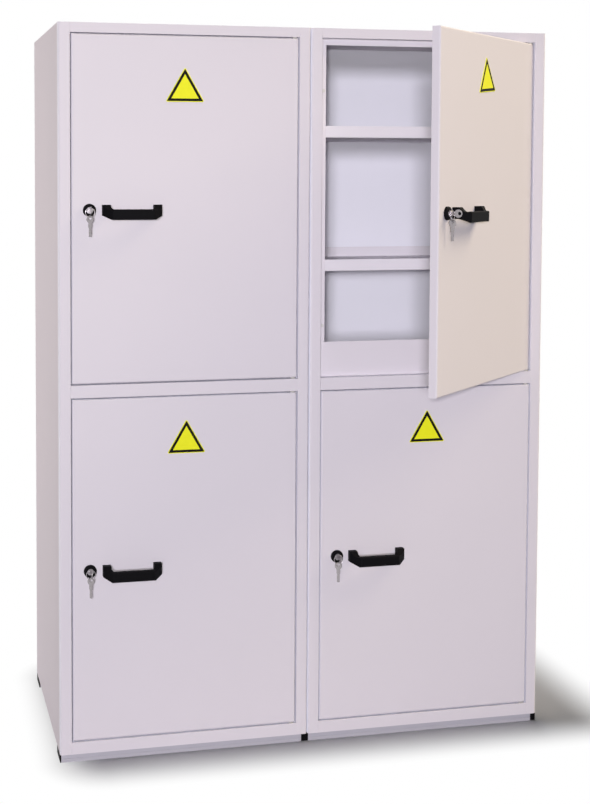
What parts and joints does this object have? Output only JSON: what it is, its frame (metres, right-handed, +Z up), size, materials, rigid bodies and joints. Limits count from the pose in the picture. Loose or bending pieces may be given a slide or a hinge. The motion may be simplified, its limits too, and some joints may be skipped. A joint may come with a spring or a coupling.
{
  "type": "safety storage cabinet",
  "caption": "Free-standing steel cabinet for hazardous liquids: two columns of stacked compartments with lockable pivot-hung flush doors, lipped shelves and raised sump thresholds.",
  "frame": {"origin": "on the floor under the middle of the front, on the underside of the plug that joins the two front base rails", "axes": "+Z up, -Y out of the doors, +X to the right seen from the front"},
  "size_m": [1.36, 1.0273, 1.95],
  "materials": {
    "painted_steel": "fine satin powder coat, pale grey with a faint violet cast",
    "base_paint": "satin paint, mid grey",
    "black_nylon": "moulded black nylon, fine texture",
    "natural_nylon": "smooth off-white",
    "chrome": "nickel plated, polished",
    "zinc_steel": "bright zinc plated",
    "rubber": "matt pale grey",
    "sign_plate": "yellow enamel, blank"
  },
  "bodies": {
    "cabinet": {"left_outer_side": "painted_steel", "left_inner_side": "painted_steel", "left_back": "painted_steel", "left_top": "painted_steel", "left_stiles": "painted_steel", "left_rails": "painted_steel", "left_floors": "painted_steel", "left_shelves": "painted_steel", "right_outer_side": "painted_steel", "right_inner_side": "painted_steel", "right_back": "painted_steel", "right_top": "painted_steel", "right_stiles": "painted_steel", "right_rails": "painted_steel", "right_floors": "painted_steel", "right_shelves": "painted_steel", "shelf_brackets": "painted_steel", "base_rails": "base_paint", "base_caps": "black_nylon", "rail_joiners": "black_nylon", "joining_bolts": "zinc_steel", "hinge_pins": "zinc_steel", "door_buffers": "rubber"},
    "upper_left_door": {"upper_left_door_skin": "painted_steel", "upper_left_door_liner": "painted_steel", "upper_left_pivot_bushes": "natural_nylon", "upper_left_handle": "black_nylon", "upper_left_lock_case": "black_nylon"},
    "upper_left_lock": {"upper_left_lock_plug": "chrome", "upper_left_lock_cam": "zinc_steel", "upper_left_key": "chrome"},
    "upper_left_keys": {"upper_left_key_ring": "chrome"},
    "upper_right_door": {"upper_right_door_skin": "painted_steel", "upper_right_door_liner": "painted_steel", "upper_right_pivot_bushes": "natural_nylon", "upper_right_handle": "black_nylon", "upper_right_lock_case": "black_nylon"},
    "upper_right_lock": {"upper_right_lock_plug": "chrome", "upper_right_lock_cam": "zinc_steel", "upper_right_key": "chrome"},
    "upper_right_keys": {"upper_right_key_ring": "chrome"},
    "lower_left_door": {"lower_left_door_skin": "painted_steel", "lower_left_door_liner": "painted_steel", "lower_left_pivot_bushes": "natural_nylon", "lower_left_handle": "black_nylon", "lower_left_lock_case": "black_nylon"},
    "lower_left_lock": {"lower_left_lock_plug": "chrome", "lower_left_lock_cam": "zinc_steel", "lower_left_key": "chrome"},
    "lower_left_keys": {"lower_left_key_ring": "chrome"},
    "lower_right_door": {"lower_right_door_skin": "painted_steel", "lower_right_door_liner": "painted_steel", "lower_right_pivot_bushes": "natural_nylon", "lower_right_handle": "black_nylon", "lower_right_lock_case": "black_nylon"},
    "lower_right_lock": {"lower_right_lock_plug": "chrome", "lower_right_lock_cam": "zinc_steel", "lower_right_key": "chrome"},
    "lower_right_keys": {"lower_right_key_ring": "chrome"}
  },
  "joints": [
    {"name": "upper_left_door_swing", "type": "hinge", "parent": "cabinet", "child": "upper_left_door", "pos_m": [-0.0445, -0.032, 1.009], "axis": [0, 0, 1], "range_deg": [0, 110]},
    {"name": "upper_left_lock_turn", "type": "hinge", "parent": "upper_left_door", "child": "upper_left_lock", "pos_m": [-0.5995, -0.039, 1.464], "axis": [0, 1, 0], "range_deg": [0, 90]},
    {"name": "upper_left_keys_swing", "type": "hinge", "parent": "upper_left_door", "child": "upper_left_keys", "pos_m": [-0.5995, -0.039, 1.464], "axis": [0, 1, 0], "range_deg": [-25, 25]},
    {"name": "upper_right_door_swing", "type": "hinge", "parent": "cabinet", "child": "upper_right_door", "pos_m": [0.6365, -0.032, 1.009], "axis": [0, 0, 1], "range_deg": [-43, 67]},
    {"name": "upper_right_lock_turn", "type": "hinge", "parent": "upper_right_door", "child": "upper_right_lock", "pos_m": [0.23537, -0.41563, 1.464], "axis": [-0.682, 0.7314, 0], "range_deg": [0, 90]},
    {"name": "upper_right_keys_swing", "type": "hinge", "parent": "upper_right_door", "child": "upper_right_keys", "pos_m": [0.23537, -0.41563, 1.464], "axis": [-0.682, 0.7314, 0], "range_deg": [-25, 25]},
    {"name": "lower_left_door_swing", "type": "hinge", "parent": "cabinet", "child": "lower_left_door", "pos_m": [-0.0445, -0.032, 0.0565], "axis": [0, 0, 1], "range_deg": [0, 110]},
    {"name": "lower_left_lock_turn", "type": "hinge", "parent": "lower_left_door", "child": "lower_left_lock", "pos_m": [-0.5995, -0.039, 0.5115], "axis": [0, 1, 0], "range_deg": [0, 90]},
    {"name": "lower_left_keys_swing", "type": "hinge", "parent": "lower_left_door", "child": "lower_left_keys", "pos_m": [-0.5995, -0.039, 0.5115], "axis": [0, 1, 0], "range_deg": [-25, 25]},
    {"name": "lower_right_door_swing", "type": "hinge", "parent": "cabinet", "child": "lower_right_door", "pos_m": [0.6365, -0.032, 0.0565], "axis": [0, 0, 1], "range_deg": [0, 110]},
    {"name": "lower_right_lock_turn", "type": "hinge", "parent": "lower_right_door", "child": "lower_right_lock", "pos_m": [0.0815, -0.039, 0.5115], "axis": [0, 1, 0], "range_deg": [0, 90]},
    {"name": "lower_right_keys_swing", "type": "hinge", "parent": "lower_right_door", "child": "lower_right_keys", "pos_m": [0.0815, -0.039, 0.5115], "axis": [0, 1, 0], "range_deg": [-25, 25]}
  ]
}
